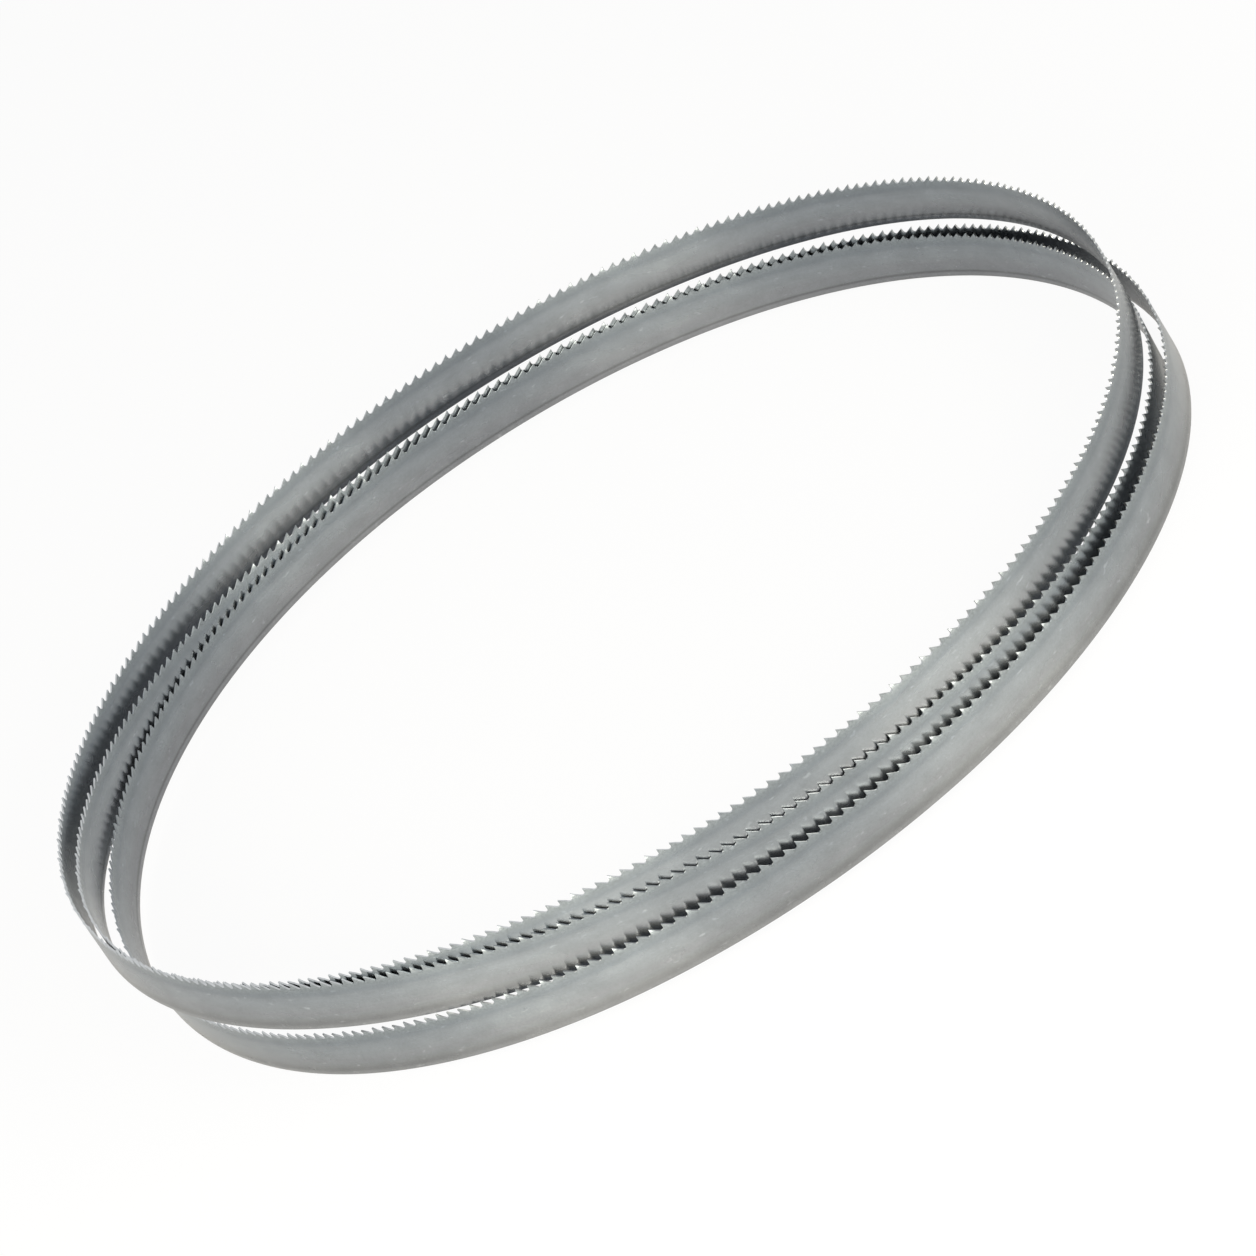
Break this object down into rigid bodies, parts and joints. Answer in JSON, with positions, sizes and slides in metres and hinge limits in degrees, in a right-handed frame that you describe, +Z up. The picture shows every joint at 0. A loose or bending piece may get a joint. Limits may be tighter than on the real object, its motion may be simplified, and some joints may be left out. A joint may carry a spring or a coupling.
{
  "type": "band saw blade",
  "caption": "Endless band saw blade of thin steel strip with raker-set hook teeth, folded into coils and lying on its back edge.",
  "frame": {"origin": "on the floor plane, under the middle of the ring's bounding box", "axes": "+Z up, from the back edge to the tooth tips; the ring lies in the XY plane; seen from the teeth the strip runs counterclockwise from the upright face of a tooth to its sloping back"},
  "size_m": [0.5934, 0.5946, 0.063],
  "materials": {
    "blade_steel": "rolled and tempered steel strip, satin, with ground back edge"
  },
  "bodies": {
    "root": {"saw_blade": "blade_steel"}
  },
  "joints": []
}
